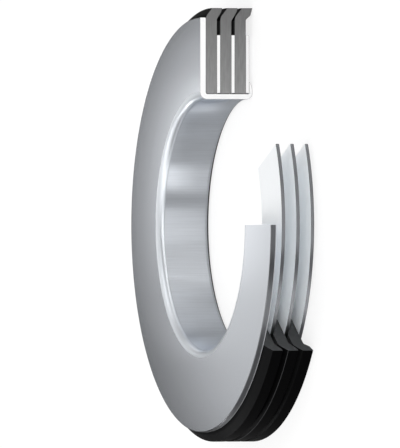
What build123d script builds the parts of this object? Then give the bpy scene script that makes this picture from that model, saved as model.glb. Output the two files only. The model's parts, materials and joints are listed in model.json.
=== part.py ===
from build123d import *
import os
from math import radians, tan

# A three-lip shaft seal, cut open in steps to show its section. A folded steel case is pressed on
# the shaft and carries three rubber lips, two spacer rings between them and a clamp ring behind
# them, under a rear edge that is spun over. The lips' outer edges wipe the bore of a housing.
# Millimetres. Z is the seal's axis, with the flange's outer face up, and Z is 0 at the middle of
# the bore's straight wall. Angles turn from +X towards +Y.

# What the seal fits: a shaft, and a housing's bore
shaft_d = 45.0
housing_d = 75.0

# Case
case_wall = 0.95
flange_t = 1.1
flange_clearance = 0.35
flange_edge_break = 0.12
fold_inner_r = 0.35

# Rear edge of the case, spun over the clamp ring
spun_bend_r = 1.17
spun_t = 0.65
spun_reach = 2.15
spun_edge_t = 0.1

# Spacer rings and clamp ring
ring_margin = 3.5
spacer_t = 0.65
clamp_t = 0.65
clamp_edge_break = 0.15
ring_bore_clearance = 0.15

# Rubber lips, larger than the housing's bore
lip_interference = 1.35
lip_t = 2.1
lip_bore_clearance = 0.05
lip_front_lean = 39.0
lip_edge_lean = 16.0
lip_front_softening = 0.4

# Each lip leans from these heights below its outer edge: in front, and at the rear
front_lip_front_height = 1.5
front_lip_rear_height = 2.0
middle_lip_front_height = 1.7
middle_lip_rear_height = 2.35
rear_lip_front_height = 1.7
rear_lip_rear_height = 2.1

# Each lip's heel: its height below the outer edge, and how far it stands behind the flat part
front_lip_heel_height = 0.7
front_lip_heel_depth = 0.82
middle_lip_heel_height = 0.7
middle_lip_heel_depth = 1.01
rear_lip_heel_height = 1.33
rear_lip_heel_depth = 0.88

# Steps of the cut: every piece starts at the section, and ends at its own angle
section_angle = 90.0
case_end_angle = 360.0
lip_end_angle = 325.0
ring_end_angle = 385.0

# Radii that follow from the sizes above
bore_r = shaft_d / 2
case_outer_r = bore_r + case_wall
fold_outer_r = fold_inner_r + case_wall
flange_r = housing_d / 2 - flange_clearance
ring_r = housing_d / 2 - ring_margin
ring_bore_r = case_outer_r + ring_bore_clearance
lip_r = housing_d / 2 + lip_interference
lip_bore_r = case_outer_r + lip_bore_clearance
spun_r = case_outer_r + spun_reach

# Faces along the axis, from the flange's outer face down to the rearmost point
stack_t = 3 * lip_t + 2 * spacer_t + clamp_t
seal_width = flange_t + stack_t + spun_t
bore_wall_length = seal_width - fold_outer_r - spun_bend_r
front_z = bore_wall_length / 2 + fold_outer_r
rear_z = front_z - seal_width
front_lip_z = front_z - flange_t
front_spacer_z = front_lip_z - lip_t
middle_lip_z = front_spacer_z - spacer_t
rear_spacer_z = middle_lip_z - lip_t
rear_lip_z = rear_spacer_z - spacer_t
clamp_z = rear_lip_z - lip_t
clamp_rear_z = clamp_z - clamp_t

# The upright plane of the section: its x runs outwards from the axis and its y runs up
outwards = Vector(1, 0, 0).rotate(Axis.Z, section_angle)
section_plane = Plane(origin=(0, 0, 0), x_dir=outwards, z_dir=outwards.cross(Vector(0, 0, 1)))


def corner(section, r, z):
    """The corner of a section that lies nearest to a point."""
    return section.vertices().sort_by_distance((r, z))[0]


def turn(section, end_angle):
    """Carry a section round the axis, from where it stands to an angle."""
    revolve(section, axis=Axis.Z, revolution_arc=end_angle - section_angle)


def ring_section(top_z, thickness, rear_edge_break=0.0):
    """A flat ring's section: sharp where it was sheared, with its bore clear of the case."""
    with BuildSketch(section_plane) as section:
        with Locations((ring_bore_r, top_z)):
            Rectangle(ring_r - ring_bore_r, thickness, align=(Align.MIN, Align.MAX))
        if rear_edge_break > 0:
            chamfer(corner(section, ring_r, top_z - thickness), rear_edge_break)
    return section.sketch


def lip_section(top_z, front_height, rear_height, heel_height, heel_depth, seat=0.0):
    """A lip's section: flat up to its outer edge, which leans to the rear and stands on a heel."""
    rear_flat_z = top_z - lip_t
    front_bend = (lip_r - front_height, top_z)
    rear_bend = (lip_r - rear_height, rear_flat_z)
    heel = (lip_r - heel_height, rear_flat_z - heel_depth)
    edge_front_z = top_z - front_height * tan(radians(lip_front_lean))
    edge_rear_z = rear_flat_z - heel_depth - heel_height * tan(radians(lip_edge_lean))
    with BuildSketch(section_plane) as section:
        with BuildLine():
            Polyline(
                (lip_bore_r, top_z),
                front_bend,
                (lip_r, edge_front_z),
                (lip_r, edge_rear_z),
                heel,
                rear_bend,
                (lip_bore_r, rear_flat_z),
                close=True,
            )
        make_face()
        chamfer(corner(section, *front_bend), lip_front_softening)
        if seat > 0:
            chamfer(corner(section, lip_bore_r, top_z), seat)
    return section.sketch


# Case: a flange folded into a cylinder, whose rear edge is spun outwards over the clamp ring
with BuildPart() as seal_case:
    with BuildSketch(section_plane) as case_section:
        with BuildLine():
            face = Line((flange_r, front_z), (bore_r + fold_outer_r, front_z))
            fold = TangentArc(face @ 1, (bore_r, front_z - fold_outer_r), tangent=face % 1)
            bore_wall = Line(fold @ 1, (bore_r, rear_z + spun_bend_r))
            spun_bend = TangentArc(bore_wall @ 1, (bore_r + spun_bend_r, rear_z), tangent=bore_wall % 1)
            spun_edge = (spun_r, clamp_rear_z - spun_edge_t)
            spun_back = TangentArc(spun_bend @ 1, spun_edge, tangent=spun_bend % 1)
            Polyline(
                spun_back @ 1,
                (spun_r, clamp_rear_z),
                (case_outer_r, clamp_rear_z),
                (case_outer_r, front_lip_z),
                (flange_r, front_lip_z),
                face @ 0,
            )
        make_face()
        rim = [corner(case_section, flange_r, z) for z in (front_z, front_lip_z)]
        chamfer(rim, flange_edge_break)
        chamfer(corner(case_section, case_outer_r, front_lip_z), fold_inner_r)
    turn(case_section.sketch, case_end_angle)

# Front lip: its bore is cut back where it seats against the fold
with BuildPart() as front_lip:
    front_lip_section = lip_section(
        front_lip_z,
        front_lip_front_height,
        front_lip_rear_height,
        front_lip_heel_height,
        front_lip_heel_depth,
        seat=fold_inner_r + lip_bore_clearance,
    )
    turn(front_lip_section, lip_end_angle)

# Middle lip
with BuildPart() as middle_lip:
    middle_lip_section = lip_section(
        middle_lip_z,
        middle_lip_front_height,
        middle_lip_rear_height,
        middle_lip_heel_height,
        middle_lip_heel_depth,
    )
    turn(middle_lip_section, lip_end_angle)

# Rear lip: its heel is the fullest
with BuildPart() as rear_lip:
    rear_lip_section = lip_section(
        rear_lip_z,
        rear_lip_front_height,
        rear_lip_rear_height,
        rear_lip_heel_height,
        rear_lip_heel_depth,
    )
    turn(rear_lip_section, lip_end_angle)

# Spacer rings, between the lips
with BuildPart() as front_spacer:
    turn(ring_section(front_spacer_z, spacer_t), ring_end_angle)

with BuildPart() as rear_spacer:
    turn(ring_section(rear_spacer_z, spacer_t), ring_end_angle)

# Clamp ring, behind the rear lip, with its rear edge broken
with BuildPart() as clamp_ring:
    turn(ring_section(clamp_z, clamp_t, clamp_edge_break), ring_end_angle)

seal_case.part.label = "seal_case"
front_lip.part.label = "front_lip"
front_spacer.part.label = "front_spacer"
middle_lip.part.label = "middle_lip"
rear_spacer.part.label = "rear_spacer"
rear_lip.part.label = "rear_lip"
clamp_ring.part.label = "clamp_ring"

os.makedirs("parts", exist_ok=True)
export_step(seal_case.part, "parts/seal_case.step")
export_step(front_lip.part, "parts/front_lip.step")
export_step(front_spacer.part, "parts/front_spacer.step")
export_step(middle_lip.part, "parts/middle_lip.step")
export_step(rear_spacer.part, "parts/rear_spacer.step")
export_step(rear_lip.part, "parts/rear_lip.step")
export_step(clamp_ring.part, "parts/clamp_ring.step")
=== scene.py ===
# %% [markdown]
# # An oil seal, cut open to show its lips
# The seal is a folded steel case that carries three black rubber lips, with thin steel rings
# between and behind them. A quarter of it is cut away in steps, and its section is painted as in a
# drawing: white on cut steel, grey on cut rubber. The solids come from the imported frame. This file
# gives them their fine roundings and their finish, a camera and some light.

# %% Load the frame
import json
import bpy
import numpy as np
from mathutils import Matrix, Vector


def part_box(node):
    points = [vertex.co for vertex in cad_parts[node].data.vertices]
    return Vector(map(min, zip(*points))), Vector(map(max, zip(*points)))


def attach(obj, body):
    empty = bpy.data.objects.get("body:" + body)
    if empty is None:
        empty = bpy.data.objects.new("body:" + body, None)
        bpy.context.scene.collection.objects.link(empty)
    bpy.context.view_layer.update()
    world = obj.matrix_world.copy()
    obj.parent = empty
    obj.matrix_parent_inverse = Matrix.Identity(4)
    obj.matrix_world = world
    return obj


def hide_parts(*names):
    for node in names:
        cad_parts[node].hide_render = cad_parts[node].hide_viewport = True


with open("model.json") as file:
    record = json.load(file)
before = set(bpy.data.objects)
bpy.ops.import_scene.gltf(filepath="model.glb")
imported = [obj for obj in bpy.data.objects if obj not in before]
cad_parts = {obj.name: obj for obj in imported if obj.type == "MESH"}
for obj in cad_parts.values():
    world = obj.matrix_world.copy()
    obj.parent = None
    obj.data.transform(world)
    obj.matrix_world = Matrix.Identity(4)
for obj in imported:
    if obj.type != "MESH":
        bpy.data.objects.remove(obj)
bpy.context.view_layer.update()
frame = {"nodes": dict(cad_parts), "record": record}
print("The frame holds", ", ".join(sorted(frame["nodes"])))

# %% [markdown]
# ## Sizes
# Everything here is a surface of revolution, so a size is a radius or a height on the axis. The
# outer ones are read from the frame's boxes, which keeps each new surface on its solid. Those
# inside an outline, such as the case's wall or a lip's heel, aren't in a box, so they are repeated
# from the solids where they are used. Only the fine roundings are new. Lengths are in metres, and
# `mm` keeps them readable.

# %% Sizes read from the frame
mm = 0.001


def heights(node):
    """The lowest and highest point of a node on the axis."""
    low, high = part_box(node)
    return low.z, high.z


bore_r = frame["record"]["mounts"][0]["dims"]["r_mm"] * mm
rear_z, front_z = heights("seal_case")
flange_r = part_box("seal_case")[1].y
ring_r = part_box("front_spacer")[1].y
lip_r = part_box("front_lip")[1].y
front_lip_z = heights("front_lip")[1]
lip_t = front_lip_z - heights("front_spacer")[1]
clamp_rear_z = heights("clamp_ring")[0]
print(f"Radii: bore {bore_r / mm:.2f} mm, rings {ring_r / mm:.2f} mm")
print(f"Radii: flange {flange_r / mm:.2f} mm, lips {lip_r / mm:.2f} mm")

# %% [markdown]
# ## The camera
# The seal lies on its rear edge, and the camera looks across it from a low angle, at the side that
# is cut open. It is rolled by a quarter turn, so that the axis runs from left to right and the
# section is at the top. A near camera would swell the side that is closest to it. So this one
# stands far away with a long lens, which keeps the ellipses of the rims true, and the lens follows
# from the height that it has to see.

# %% Set the camera
picture_height = 448
mm_per_pixel = 0.17907
camera_rise = np.radians(19.71)
camera_distance = 2.72
aim = Vector((0.0, 0.15 * mm, 5.08 * mm))
# In millimetres, along the longer side of the picture, which is its height
sensor = 36.0


def added(name, data):
    """Put a new object in the scene, made from a mesh, a lamp or a camera."""
    made = bpy.data.objects.new(name, data)
    bpy.context.scene.collection.objects.link(made)
    return made


towards_camera = Vector((np.cos(camera_rise), 0.0, np.sin(camera_rise)))
picture_up = Vector((0.0, 1.0, 0.0))
picture_right = picture_up.cross(towards_camera)
turned = Matrix((picture_right, picture_up, towards_camera)).transposed().to_4x4()
seen_height = picture_height * mm_per_pixel * mm
camera = added("camera", bpy.data.cameras.new("camera"))
camera.matrix_world = Matrix.Translation(aim + towards_camera * camera_distance) @ turned
camera.data.sensor_width = sensor
camera.data.lens = sensor * camera_distance / seen_height
bpy.context.scene.camera = camera
bpy.context.scene.view_settings.view_transform = "Standard"
print(f"A {camera.data.lens:.0f} mm lens, {camera_distance} m away, sees {seen_height / mm:.1f} mm")

# %% [markdown]
# ## Shader maths as Python
# A pattern is arithmetic on coordinates. Its nodes could be placed and linked one by one, but that
# hides the formula. So one small class holds an output socket of a material and gives it + - * /,
# and a pattern reads like the formula it is. Colours and places go through Mix and Vector Math
# nodes, because a Math node would turn them grey.

# %% A class for sockets
MIX_FACTOR, MIX_A, MIX_B, MIX_RESULT = 0, 6, 7, 2


class Wire:
    """An output socket in a material. Arithmetic on it adds a Math node."""

    def __init__(self, tree, socket=None):
        self.tree = tree
        self.socket = socket

    def node(self, kind, settings=None, sockets=None, output=0):
        """Add any node: its settings are set first, then the values or links of its sockets."""
        made = self.tree.nodes.new(kind)
        for key, value in (settings or {}).items():
            setattr(made, key, value)
        for key, value in (sockets or {}).items():
            if isinstance(value, Wire):
                self.tree.links.new(value.socket, made.inputs[key])
            else:
                made.inputs[key].default_value = value
        return Wire(self.tree, made.outputs[output])

    def math(self, operation, *values, clamp=False):
        """Add a Math node, for numbers."""
        settings = {"operation": operation, "use_clamp": clamp}
        return self.node("ShaderNodeMath", settings, dict(enumerate(values)))

    def vector(self, operation, *values, output="Vector", **named):
        """Add a Vector Math node, for places, directions and colours."""
        sockets = {**dict(enumerate(values)), **named}
        return self.node("ShaderNodeVectorMath", {"operation": operation}, sockets, output)

    def __add__(self, other):
        return self.math("ADD", self, other)

    def __sub__(self, other):
        return self.math("SUBTRACT", self, other)

    def __rsub__(self, other):
        return self.math("SUBTRACT", other, self)

    def __mul__(self, other):
        return self.math("MULTIPLY", self, other)

    def __truediv__(self, other):
        return self.math("DIVIDE", self, other)

    __radd__ = __add__
    __rmul__ = __mul__


def mixed(factor, first, second):
    """A colour that goes from the first to the second as the factor goes from 0 to 1."""
    sockets = {MIX_FACTOR: factor, MIX_A: first, MIX_B: second}
    return factor.node("ShaderNodeMix", {"data_type": "RGBA"}, sockets, MIX_RESULT)


# %% [markdown]
# ## Finishes
# A finish starts as a Principled shader with its constants set on its own sockets. Whatever
# varies is linked afterwards, and only to Base Color, Roughness or Normal. A finish is kept by its
# name, and every surface of a piece asks for one by name.

# %% Start a finish
finishes = {}


def finish_of(name, constants):
    """Keep a new material by its name, and return its shader and a wire to start from."""
    material = bpy.data.materials.new(name)
    material.use_nodes = True
    shader = material.node_tree.nodes["Principled BSDF"]
    for socket, value in constants.items():
        shader.inputs[socket].default_value = value
    finishes[name] = material
    return shader, Wire(material.node_tree)


def feed(shader, **wires):
    """Link wires to the sockets of a shader, named with _ for a space."""
    for socket, wire in wires.items():
        wire.tree.links.new(wire.socket, shader.inputs[socket.replace("_", " ")])


# %% [markdown]
# Most finishes vary in the same two ways: their colour moves between two shades, and their normal
# follows a fine relief.

# %% Shades and relief
def shades(colour, spread):
    """A darker and a lighter shade of a colour, each away from it by a share of it."""
    darker = tuple(c * (1 - spread) for c in colour) + (1.0,)
    lighter = tuple(min(c * (1 + spread), 1.0) for c in colour) + (1.0,)
    return darker, lighter


def relief(height, strength, depth):
    """A normal that follows a height from 0 to 1, over a depth in metres."""
    sockets = {"Strength": strength, "Distance": depth, "Height": height}
    return height.node("ShaderNodeBump", sockets=sockets)


# %% [markdown]
# ## Marks of turning
# The flange was brushed and the rims were sheared round the axis, so their marks are fine rings. A
# Wave texture makes rings too, but all alike, and real marks aren't. A noise that changes quickly
# across the rings and slowly along them gives that look. It is read at the direction from the axis,
# which changes slowly, and at radius plus height, which crosses the rings on the flange, round the
# fold and down a rim alike.

# %% Make the ring marks
rings_per_metre = 2600.0
drift_along_ring = 1.6
mark_detail = 3.0


def place_on(start):
    """The place of a point of the piece, in metres from the seal's origin."""
    return start.node("ShaderNodeTexCoord", output="Object")


def from_axis(place):
    """The direction from the axis to a place, and the distance."""
    flat = place.vector("MULTIPLY", place, (1.0, 1.0, 0.0))
    return flat.vector("NORMALIZE", flat), flat.vector("LENGTH", flat, output="Value")


def noise_at(spot, detail, scale=1.0):
    """A noise from 0 to 1 that changes over about one unit of the spot times the scale."""
    sockets = {"Vector": spot, "Scale": scale, "Detail": detail}
    return spot.node("ShaderNodeTexNoise", {"noise_dimensions": "3D"}, sockets)


def ring_marks(start):
    """Fine marks round the axis, from 0 to 1."""
    place = place_on(start)
    direction, radius = from_axis(place)
    height = start.node("ShaderNodeSeparateXYZ", sockets={0: place}, output="Z")
    slow = start.vector("SCALE", direction, Scale=drift_along_ring)
    quick = start.node("ShaderNodeCombineXYZ", sockets={"Z": (radius + height) * rings_per_metre})
    return noise_at(start.vector("ADD", slow, quick), mark_detail)


print(f"A ring mark every {1 / rings_per_metre / mm:.2f} mm")

# %% [markdown]
# ## Marks of drawing
# The bore wall was drawn through a die, which leaves fine lines along the axis instead. The same
# noise does it, with a direction that is magnified and a place that changes slowly.

# %% Make the drawing marks
marks_per_radian = 90.0
drift_along_axis = 120.0


def drawing_marks(start):
    """Fine marks along the axis, from 0 to 1."""
    place = place_on(start)
    direction, _ = from_axis(place)
    quick = start.vector("SCALE", direction, Scale=marks_per_radian)
    slow = start.vector("SCALE", place, Scale=drift_along_axis)
    return noise_at(start.vector("ADD", quick, slow), mark_detail)


print(f"A drawing mark every {bore_r / marks_per_radian / mm:.2f} mm round the bore")

# %% [markdown]
# ## Steel
# One sheet of steel looks different where it was brushed, burnished by the folding tool, drawn or
# sheared. One material with masks could hold it all, but each surface is easier to read and to set
# as a finish of its own. So one function makes them: the marks change the tone, the roughness and
# a little of the relief, and each surface has its own strength. Drawn and sheared surfaces spread a
# reflection across their marks, which is what Anisotropic does. The hidden backs and the rings are
# painted nearly white and mostly as plain colour instead of mirror: painted light that lifts the
# shade in the slots between the rings.

# %% Make the steels
mark_depth = 0.004 * mm
across_the_marks = 0.25


def steel(
    name,
    colour,
    roughness,
    grain=0.06,
    bump=0.15,
    anisotropic=0.0,
    metallic=1.0,
    pattern=ring_marks,
):
    """Steel of one colour, with marks in its tone, its roughness and its relief."""
    constants = {
        "Metallic": metallic,
        "Anisotropic": anisotropic,
        "Anisotropic Rotation": across_the_marks if anisotropic else 0.0,
    }
    shader, start = finish_of(name, constants)
    marks = pattern(start)
    feed(
        shader,
        Base_Color=mixed(marks, *shades(colour, grain)),
        Roughness=marks * (2 * grain * roughness) + roughness * (1 - grain),
        Normal=relief(marks, bump, mark_depth),
    )


# Painted light: the backs and rings get a near-white colour that is mostly diffuse, to lift the
# shade in the slots between the rings.
pale_painted_slot_light = {"grain": 0.02, "metallic": 0.1}
drawn = {"grain": 0.1, "bump": 0.03, "anisotropic": 1.0, "pattern": drawing_marks}
sheared = {"anisotropic": 1.0}
steel("face", (0.605, 0.63, 0.67), roughness=0.2, grain=0.03, bump=0.04)
steel("fold", (0.7, 0.73, 0.765), roughness=0.4, grain=0.02, bump=0.03)
steel("bore", (0.8, 0.835, 0.885), roughness=0.34, **drawn)
# The spun part of the bend is painted near black: painted shade and a painted dark reflection along
# the bore's rear edge.
steel("spun", (0.07, 0.072, 0.078), roughness=0.3)
# Painted light: near white on the hidden backs and the rings, against the shade in the slots.
steel("back", (0.93, 0.955, 0.985), roughness=0.5, **pale_painted_slot_light)
steel("ring", (0.95, 0.97, 0.99), roughness=0.5, **pale_painted_slot_light)
# The flange's rim is painted dark, as painted shade.
steel("flange_rim_painted_shade", (0.18, 0.186, 0.196), roughness=0.4, **sheared)
# A lighter colour on the rim's rear edge, as a painted highlight line.
steel("rim_painted_highlight", (0.5, 0.515, 0.54), roughness=0.4, metallic=0.2)
steel("rim", (0.3, 0.31, 0.325), roughness=0.38, **sheared)
print("Steels:", ", ".join(finishes))

# %% [markdown]
# ## Paint on the section
# The cut faces are painted as in a drawing: white on steel and grey on rubber. The grey is streaked
# outwards and gets darker on the way out. A thin line along every edge is darker than its paint,
# and tells two white pieces apart. A painted image could be laid on the section, but two small
# formulas stay sharp at any size: a mix that follows the way out, and a noise that is stretched
# along it. The section stands over the Y axis, so Y is how far out a point of it is.

# %% Make the paints
paint_roughness = 0.6
streaks_per_metre = (400.0, 400.0, 3000.0)
streak_detail = 2.0


def grey(tone):
    """A colour without a hue, from 0 for black to 1 for white."""
    return (tone, tone, tone, 1.0)


def paint(name, inner, outer, streaks):
    """A matt paint that goes from one tone at the bore to another at the lips' edge, in streaks."""
    shader, start = finish_of(name, {"Roughness": paint_roughness})
    place = place_on(start)
    outwards = start.node("ShaderNodeSeparateXYZ", sockets={0: place}, output="Y")
    way_out = start.math("DIVIDE", outwards - bore_r, lip_r - bore_r, clamp=True)
    streak = noise_at(start.vector("MULTIPLY", place, streaks_per_metre), streak_detail)
    tone = (streak - 0.5) * (2 * streaks) + 1.0
    colour = mixed(way_out, grey(inner), grey(outer))
    feed(shader, Base_Color=start.vector("SCALE", colour, Scale=tone))


paint("white", inner=0.93, outer=0.93, streaks=0.02)
paint("white_edge", inner=0.34, outer=0.34, streaks=0.05)
paint("grey", inner=0.26, outer=0.142, streaks=0.25)
paint("grey_edge", inner=0.11, outer=0.09, streaks=0.05)
print(len(finishes), "finishes with the paints")

# %% [markdown]
# ## Rubber
# The lips are black rubber with a fine matt skin. A black this deep shows only what it mirrors, so
# its specular level is low. The flanks and edges that look lighter are given a lighter colour, as
# painted light and painted highlights. Two of the lips have a flat face in front that is painted
# lighter too, as painted light.

# %% Make the rubbers
rubber_sheen = 0.015
skin_per_metre = 1400.0
skin_detail = 4.0
skin_mottle = 0.2
skin_gloss = 0.1
skin_bump = 0.2
skin_depth = 0.02 * mm


def rubber(name, colour, roughness):
    """Black rubber, with a fine skin in its tone, its roughness and its relief."""
    shader, start = finish_of(name, {"Specular IOR Level": rubber_sheen})
    skin = noise_at(place_on(start), skin_detail, skin_per_metre)
    feed(
        shader,
        Base_Color=mixed(skin, *shades(colour, skin_mottle)),
        Roughness=skin * skin_gloss + (roughness - skin_gloss / 2),
        Normal=relief(skin, skin_bump, skin_depth),
    )


rubber("rubber", (0.002, 0.002, 0.0022), roughness=0.45)
# The front lip's leaning flank is painted lighter, as painted light.
rubber("flank", (0.0075, 0.0076, 0.008), roughness=0.45)
# The rear lip's edge and flank are painted a little lighter, as painted light.
rubber("rear_lip_painted_light", (0.004, 0.0041, 0.0043), roughness=0.45)
# The middle lip's edge is painted lighter, as a painted highlight.
rubber("edge_painted_highlight", (0.05, 0.051, 0.053), roughness=0.4)
rubber("cut_rubber", (0.064, 0.066, 0.068), roughness=0.6)
# The flat faces in front of the middle and rear lips are painted lighter, as painted light.
rubber("flat_painted_light", (0.06, 0.061, 0.063), roughness=0.6)
print(len(finishes), "finishes with the rubbers")

# %% [markdown]
# ## Outlines
# A turned part is one outline carried round the axis. An outline is written as its sharp corners,
# each with a rounding, and the arcs are worked out for all corners at once. A Bevel modifier could
# round the edges too, but Blender would then guess the normals. Here the exact ones are worked out
# with the points, so a flat face stays flat next to a small rounding. Metal would show a wrong
# normal at once.

# %% Round an outline
arc_points = 8
least_rounding = 0.004 * mm


def rounded(corners, roundings, inset=0.0):
    """Points and outward normals of a closed outline, or of one inset in it, with arcs for corners.

    The corners run anticlockwise. The normal of a side is its direction turned a quarter to the
    right. Between the normals n0 and n1 of two sides, the arc of radius R has its centre at the
    corner minus R (n0 + n1) / (1 + n0.n1), and its points at the centre plus R times a normal that
    turns evenly from n0 to n1. In a hollow corner both signs change.
    """
    ahead = np.roll(corners, -1, axis=0) - corners
    n1 = np.stack([ahead[:, 1], -ahead[:, 0]], axis=1)
    n1 /= np.linalg.norm(n1, axis=1, keepdims=True)
    n0 = np.roll(n1, 1, axis=0)
    along = (n0 * n1).sum(axis=1)
    turn = np.arctan2(n0[:, 0] * n1[:, 1] - n0[:, 1] * n1[:, 0], along)
    full = np.maximum(roundings - inset, least_rounding)
    reach = np.where(turn > 0, full, -roundings - inset)[:, None]
    centre = corners - (reach + inset) * (n0 + n1) / (1 + along)[:, None]
    start = np.arctan2(n0[:, 1], n0[:, 0])
    angle = start[:, None] + turn[:, None] * np.linspace(0, 1, arc_points)
    normal = np.stack([np.cos(angle), np.sin(angle)], axis=2)
    points = centre[:, None] + reach[:, None] * normal
    return points.reshape(-1, 2), normal.reshape(-1, 2)


print(f"Each corner of an outline becomes {arc_points} points")

# %% [markdown]
# ## Turning an outline
# The cut makes every piece a turn with two end faces. The sides are a grid of outline points by
# angles, and each end is one many-sided face. On the section that face is inset by a hair, and the
# strip around it wears the drawing's thin line. The Spin tool would turn an outline as well, but a
# grid keeps count of which face belongs to which side.

# %% Carry pairs round the axis
def carried(pairs, angles):
    """Carry each pair (u, v) to each angle a, as (u cos a, u sin a, v)."""
    a = angles[:, None]
    u, v = pairs[:, 0], pairs[:, 1]
    return np.stack([u * np.cos(a), u * np.sin(a), v * np.ones_like(a)], axis=2)


# %% [markdown]
# Every rounding and every side can wear a finish of its own, because a bore, a fold and a sheared
# edge look different on one sheet of steel.

# %% Give the faces their finishes
def dress(mesh, worn):
    """Let each face of a mesh wear a finish, named in the order of the faces."""
    names = sorted(set(worn))
    for finish in names:
        mesh.materials.append(finishes[finish])
    mesh.polygons.foreach_set("material_index", np.searchsorted(names, worn).astype(np.int32))
    mesh.polygons.foreach_set("use_smooth", np.ones(len(worn), bool))


# %% Turn an outline into a piece
degrees_a_step = 1.5
section_angle = 90.0
cut_border = 0.05 * mm


def turned_piece(name, rows, end_angle, section_finish, end_finish):
    """Carry an outline round the axis from the section to an angle, and close both ends.

    A row is a corner's radius and height, its rounding, the finish of the rounding and the finish
    of the side after it. Points (r, z) and normals are carried alike. The section's strip joins
    the outline to one inset in it. The mesh gets its normals for every corner of every face.
    """
    corners = np.array([row[:2] for row in rows])
    roundings = np.array([row[2] for row in rows])
    points, normals = rounded(corners, roundings)
    within, _ = rounded(corners, roundings, cut_border)
    steps = round((end_angle - section_angle) / degrees_a_step)
    angles = np.radians(np.linspace(section_angle, end_angle, steps + 1))
    places = carried(points, angles).reshape(-1, 3)
    facing = carried(normals, angles).reshape(-1, 3)
    flush = carried(within, angles[:1])[0]

    along = len(points)
    number = np.arange(len(places)).reshape(-1, along)
    ahead = np.roll(number, -1, axis=1)
    sides = np.stack([number[:-1], number[1:], ahead[1:], ahead[:-1]], axis=2).reshape(-1, 4)
    inner = len(places) + np.arange(along)
    border = np.stack([number[0], ahead[0], np.roll(inner, -1), inner], axis=1)
    ends = [inner.tolist(), number[-1, ::-1].tolist()]
    mesh = bpy.data.meshes.new(name)
    every_place = np.concatenate([places, flush])
    mesh.from_pydata(every_place.tolist(), [], sides.tolist() + border.tolist() + ends)

    worn_along = sum(([row[3]] * (arc_points - 1) + [row[4]] for row in rows), [])
    section_worn = [section_finish + "_edge"] * along + [section_finish]
    dress(mesh, worn_along * steps + section_worn + [end_finish])

    first, last = angles[0], angles[-1]
    side_facing = facing[sides.reshape(-1)].tolist()
    section_facing = [(np.sin(first), -np.cos(first), 0.0)] * (border.size + along)
    end_facing = [(-np.sin(last), np.cos(last), 0.0)] * along
    mesh.normals_split_custom_set(side_facing + section_facing + end_facing)

    triangles = 2 * (len(sides) + len(border) + along - 2)
    print(f"{name}: {along} outline points, {steps} steps of turn, {triangles} triangles")
    return added(name, mesh)


step_length = np.radians(degrees_a_step) * lip_r
print(f"A step of {degrees_a_step} degrees is {step_length / mm:.2f} mm at the lips' edge")

# %% [markdown]
# ## The case
# One sheet of steel makes the flange, the bore and the spun edge. It is folded over a round edge
# at the front, so the fold is wide outside and tight inside. At the rear it thins out and curls
# over the clamp ring. The first part of that bend still belongs to the drawn wall, and the rest is
# painted near black as shade and a dark reflection, so the bend is split in two arcs of one radius.
# The flange's rim was sheared, and it is painted dark as shade, and its rear edge is painted lighter
# as a thin highlight line. A Solidify modifier could give one line its wall, but this wall thins
# out at the rear, so the outline runs round both faces.

# %% Sizes of the case
case_wall = 0.95 * mm
fold_outer = 1.3 * mm
fold_inner = 0.35 * mm
flange_edge = 0.15 * mm
flange_rear_edge = 0.22 * mm
spun_bend = 1.17 * mm
spun_reach = 2.15 * mm
spun_edge = 0.1 * mm
spun_corner = 0.12 * mm
fine_edge = 0.03 * mm
case_end = 360.0

case_outer_r = bore_r + case_wall
spun_r = case_outer_r + spun_reach
print(f"The case is {case_outer_r / mm:.2f} mm in radius, and its spun edge {spun_r / mm:.2f} mm")

# %% [markdown]
# The spun back is a flat arc that leaves the bend level and climbs to the spun edge. Its radius
# follows from its run and its rise, and the corner that it rounds lies where its two tangents meet.
# The rounding is a little smaller than that, so that it ends short of its neighbours.

# %% The split bend and the spun back
bend_split = np.radians(33.0)
knee_share = 0.93

bend_end_r = bore_r + spun_bend
before_split = spun_bend * np.tan(bend_split / 2)
after_split = spun_bend * np.tan(np.pi / 4 - bend_split / 2)
spun_rise = clamp_rear_z - spun_edge - rear_z
spun_run = spun_r - bend_end_r
spun_radius = (spun_run**2 + spun_rise**2) / (2 * spun_rise)
spun_knee_r = bend_end_r + spun_radius * np.tan(np.arctan2(spun_rise, spun_run))
print(f"The spun back rises {spun_rise / mm:.2f} mm over a run of {spun_run / mm:.2f} mm")

# %% Turn the case
case = turned_piece(
    "seal_case_steel",
    [
        (flange_r, front_z, flange_edge, "flange_rim_painted_shade", "face"),
        (bore_r, front_z, fold_outer, "fold", "bore"),
        (bore_r, rear_z + spun_bend - before_split, spun_bend, "bore", "bore"),
        (bend_end_r - after_split, rear_z, spun_bend, "spun", "spun"),
        (spun_knee_r, rear_z, knee_share * spun_radius, "spun", "spun"),
        (spun_r, clamp_rear_z - spun_edge, fine_edge, "rim", "rim"),
        (spun_r, clamp_rear_z, fine_edge, "rim", "back"),
        (case_outer_r, clamp_rear_z, spun_corner, "back", "back"),
        (case_outer_r, front_lip_z, fold_inner, "back", "back"),
        (flange_r, front_lip_z, flange_rear_edge, "rim_painted_highlight", "flange_rim_painted_shade"),
    ],
    case_end,
    "white",
    "rim",
)
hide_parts("seal_case")
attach(case, "root")

# %% [markdown]
# ## The rings
# The two spacers and the clamp ring are flat washers, sheared from sheet. Their faces are smooth
# and their rims are dark and a little rough. The clamp ring's rear edge is broken, so its rounding
# is larger. A flat cylinder with a hole in it would do too, but an outline of four corners gets
# its cut ends and its paint from the same function as the case.

# %% Turn the rings
ring_clearance = 0.15 * mm
ring_edge = 0.06 * mm
clamp_edge = 0.18 * mm
ring_end = 385.0

ring_bore_r = case_outer_r + ring_clearance
rear_edges = {"front_spacer": ring_edge, "rear_spacer": ring_edge, "clamp_ring": clamp_edge}

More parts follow.
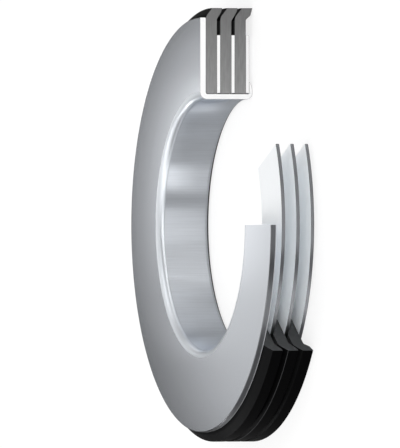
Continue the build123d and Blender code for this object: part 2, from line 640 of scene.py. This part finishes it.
for node, rear_edge in rear_edges.items():
    low, high = heights(node)
    ring = turned_piece(
        node + "_steel",
        [
            (ring_r, high, ring_edge, "rim", "ring"),
            (ring_bore_r, high, ring_edge, "ring", "ring"),
            (ring_bore_r, low, ring_edge, "ring", "ring"),
            (ring_r, low, rear_edge, "rim", "rim"),
        ],
        ring_end,
        "white",
        "rim",
    )
    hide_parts(node)
    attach(ring, "root")

# %% [markdown]
# ## The lips
# Each lip is flat where it is clamped. Outside the rings it leans to the rear and ends in a broad
# edge on a heel, and the rear lip has the fullest heel. The front lip's bore is cut back where it
# seats against the fold. A lip could be sculpted, but its mould was turned, so seven corners hold
# its whole shape, and their roundings are the soft edges that rubber has from a mould. The leaning
# flank, the edge behind it and the flat face in front can each be painted a little lighter than
# the rest, as painted light and painted highlights.

# %% Turn the lips
lip_clearance = 0.05 * mm
front_lean = np.radians(39.0)
edge_lean = np.radians(16.0)
front_bend = 1.5 * mm
heel_bend = 0.5 * mm
lip_edge = 0.1 * mm
lip_end = 325.0
# How far below the outer edge the front bend, the rear bend and the heel lie, in millimetres, then
# the heel's depth, and the finishes of the edge, of the flank and of the flat face in front
# The lighter finishes here are painted: a painted highlight on the middle lip's edge, and painted
# light on the flanks and the flat faces.
lip_shapes = {
    "front_lip": (1.5, 2.0, 0.7, 0.82, "rubber", "flank", "rubber"),
    "middle_lip": (1.7, 2.35, 0.7, 1.01, "edge_painted_highlight", "rubber", "flat_painted_light"),
    "rear_lip": (1.7, 2.1, 1.33, 0.88, "rear_lip_painted_light", "rear_lip_painted_light", "flat_painted_light"),
}

lip_bore_r = case_outer_r + lip_clearance

for node, shape in lip_shapes.items():
    front_height, rear_height, heel_height, heel_depth = (size * mm for size in shape[:4])
    edge, flank, flat = shape[4:]
    top_z = heights(node)[1]
    flat_z = top_z - lip_t
    edge_front_z = top_z - front_height * np.tan(front_lean)
    edge_rear_z = flat_z - heel_depth - heel_height * np.tan(edge_lean)
    seat = fold_inner + lip_clearance if node == "front_lip" else lip_edge
    lip = turned_piece(
        node + "_rubber",
        [
            (lip_bore_r, top_z, seat, "rubber", "rubber"),
            (lip_bore_r, flat_z, lip_edge, "rubber", "rubber"),
            (lip_r - rear_height, flat_z, heel_bend, "rubber", "rubber"),
            (lip_r - heel_height, flat_z - heel_depth, heel_bend, "rubber", "rubber"),
            (lip_r, edge_rear_z, lip_edge, "rubber", "rubber"),
            (lip_r, edge_front_z, lip_edge, edge, flank),
            (lip_r - front_height, top_z, front_bend, flank, flat),
        ],
        lip_end,
        "grey",
        "cut_rubber",
    )
    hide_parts(node)
    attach(lip, "root")

# %% [markdown]
# ## The floor
# The seal lies on a floor that is large enough to fill every view. More light could make it white,
# but that would burn out the seal. So most of what the camera sees of it isn't lit at all, but
# plain white. Near the seal a small share is lit like anything else, which keeps the seal's soft
# shadow, and further out that share fades away.

# %% Lay the floor
floor_size = 16.0
half = floor_size / 2
floor_mesh = bpy.data.meshes.new("floor")
floor_mesh.from_pydata(
    [(-half, -half, rear_z), (half, -half, rear_z), (half, half, rear_z), (-half, half, rear_z)],
    [],
    [(0, 1, 2, 3)],
)
floor = added("floor", floor_mesh)
print(f"A floor of {floor_size:.0f} m, {-rear_z / mm:.2f} mm below the seal's origin")

# %% [markdown]
# Steel would lose its shape in so much white. So it sees the floor as a pale grey, like paper in
# the seal's own shade. The plain white of the floor is a little over 1, which makes up for the lit
# share, because that is darker than white.

# %% Make the floor white
paper = 0.88
paper_roughness = 0.9
plain_share = 0.72
plain_white = 1.1
floor_in_metal = 0.34
shadow_reach = 0.25


def rays_of(start):
    """Which rays see a thing straight or through glass, and which see it in metal."""
    camera_ray, metal_ray, clear_ray = (
        start.node("ShaderNodeLightPath", output=f"Is {kind} Ray")
        for kind in ("Camera", "Glossy", "Transmission")
    )
    return start.math("MAXIMUM", camera_ray, clear_ray), metal_ray


floor_shader, start = finish_of(
    "floor_white", {"Roughness": paper_roughness, "Base Color": grey(paper)}
)
floor_mesh.materials.append(finishes["floor_white"])
direct, metal_ray = rays_of(start)
colour = mixed(metal_ray, grey(plain_white), grey(floor_in_metal))
glow = start.node("ShaderNodeEmission", sockets={"Color": colour, "Strength": 1.0})
away = start.vector("LENGTH", place_on(start), output="Value")
far = start.math("SUBTRACT", away / shadow_reach, 1.0, clamp=True)
share = start.math("MAXIMUM", metal_ray, direct * (far * (1 - plain_share) + plain_share))
lit = Wire(start.tree, floor_shader.outputs["BSDF"])
shown = start.node("ShaderNodeMixShader", sockets={0: share, 1: lit, 2: glow})
start.tree.links.new(shown.socket, start.tree.nodes["Material Output"].inputs["Surface"])
print(f"{plain_share:.0%} of the floor is plain near the seal, and all of it far away")

# %% [markdown]
# ## The world
# The camera sees a white world too, but everything else sees a dim room behind the lamps. In a
# white world steel would have nothing dark to mirror. The light bounces more often than Blender's
# default, because the slots between the rings are lit by what their own faces pass on.

# %% Light the world
dim_room = 0.06
bounces = 8

world = bpy.data.worlds.new("studio")
world.use_nodes = True
bpy.context.scene.world = world
start = Wire(world.node_tree)
direct, _ = rays_of(start)
background = world.node_tree.nodes["Background"]
background.inputs["Strength"].default_value = 1.0
room = mixed(direct, grey(dim_room), grey(1.0))
start.tree.links.new(room.socket, background.inputs["Color"])
bpy.context.scene.cycles.glossy_bounces = bounces
bpy.context.scene.cycles.diffuse_bounces = bounces
print(f"The room behind the lamps is {dim_room:.0%} of white")

# %% [markdown]
# ## The lamps
# Steel shows the lamps more than its own colour, so the lamps are placed by what each surface
# mirrors. A picture of a studio could light it too, but named lamps can be moved one by one. A lamp
# is given by how bright it looks, with 1 as bright as white paper, and its power follows from its
# area. None of them is seen by the camera.

# %% Make a lamp
lamp_distance = 0.6


def lamp(name, azimuth, rise, size, brightness, distance=lamp_distance, shape="RECTANGLE"):
    """A soft box that faces the seal, from an angle round the axis and an angle above the floor.

    Its size is its width and height in metres. Its power is pi times its brightness and its area,
    and an ellipse has the power of the rectangle round it.
    """
    a, e = np.radians(azimuth), np.radians(rise)
    out = Vector((np.cos(a) * np.cos(e), np.sin(a) * np.cos(e), np.sin(e)))
    faced = out.to_track_quat("Z", "Y").to_matrix().to_4x4()
    width, height = size
    light = bpy.data.lights.new(name, "AREA")
    light.shape = shape
    light.size, light.size_y = width, height
    light.energy = brightness * np.pi * width * height
    box = added(name, light)
    box.matrix_world = Matrix.Translation(out * distance) @ faced
    box.visible_camera = False


print(f"A lamp stands {lamp_distance} m away, {lamp_distance / lip_r:.0f} times the seal's radius")

# %% [markdown]
# A bore wall mirrors twice the angle that it stands at, so its bright and dark bands are a row of
# low boxes round the seal, with gaps between them. The boxes higher up light the fold, the rings
# and the rubber, and the flat flange mirrors one of them from each side. The last three are small
# and close, and their soft edges are the flange's gradient as the camera sees it.

# %% Place the lamps
lamp("bright_low", -44.5, 5.5, (0.245, 0.09), 5.9)
lamp("bright_high", -44.5, 30.0, (0.245, 0.12), 4.8)
lamp("front_strip", 0.0, 17.0, (0.32, 0.33), 2.35)
lamp("front_low", 32.5, 5.5, (0.38, 0.09), 4.1)
lamp("front_high", 32.5, 22.0, (0.38, 0.24), 0.4)
lamp("cut_box", 67.0, 10.0, (0.4, 0.2), 1.9)
lamp("rear_box", 100.0, 17.0, (0.29, 0.33), 0.85)
lamp("far_low", 140.0, 5.5, (0.21, 0.09), 2.0)
lamp("far_box", 140.0, 20.0, (0.21, 0.24), 0.75)
lamp("low_side", -92.0, 3.6, (0.78, 0.06), 1.8)
lamp("side_box", -90.0, 27.0, (0.4, 0.12), 0.4)
lamp("narrow_low", -136.5, 20.0, (0.1, 0.15), 8.4)
lamp("narrow_high", -136.5, 45.0, (0.1, 0.25), 1.1)
lamp("high_near", -45.0, 50.0, (0.5, 0.3), 0.95)
lamp("high_cut", 90.0, 50.0, (0.5, 0.3), 1.2)
lamp("high_side", -100.0, 50.0, (0.5, 0.3), 1.1)
lamp("high_far", 180.0, 50.0, (0.5, 0.3), 0.6)
lamp("top_lamp", 180.0, 88.0, (0.9, 0.9), 0.76)
lamp("far_glow", 179.0, 26.0, (0.1, 0.036), 0.72, distance=0.168, shape="ELLIPSE")
lamp("near_glow", 175.9, 23.1, (0.06, 0.026), 0.12, distance=0.0763, shape="ELLIPSE")
lamp("near_heart", 173.5, 25.1, (0.04, 0.018), 0.45, distance=0.0778, shape="ELLIPSE")
print(len(bpy.data.lights), "lamps")
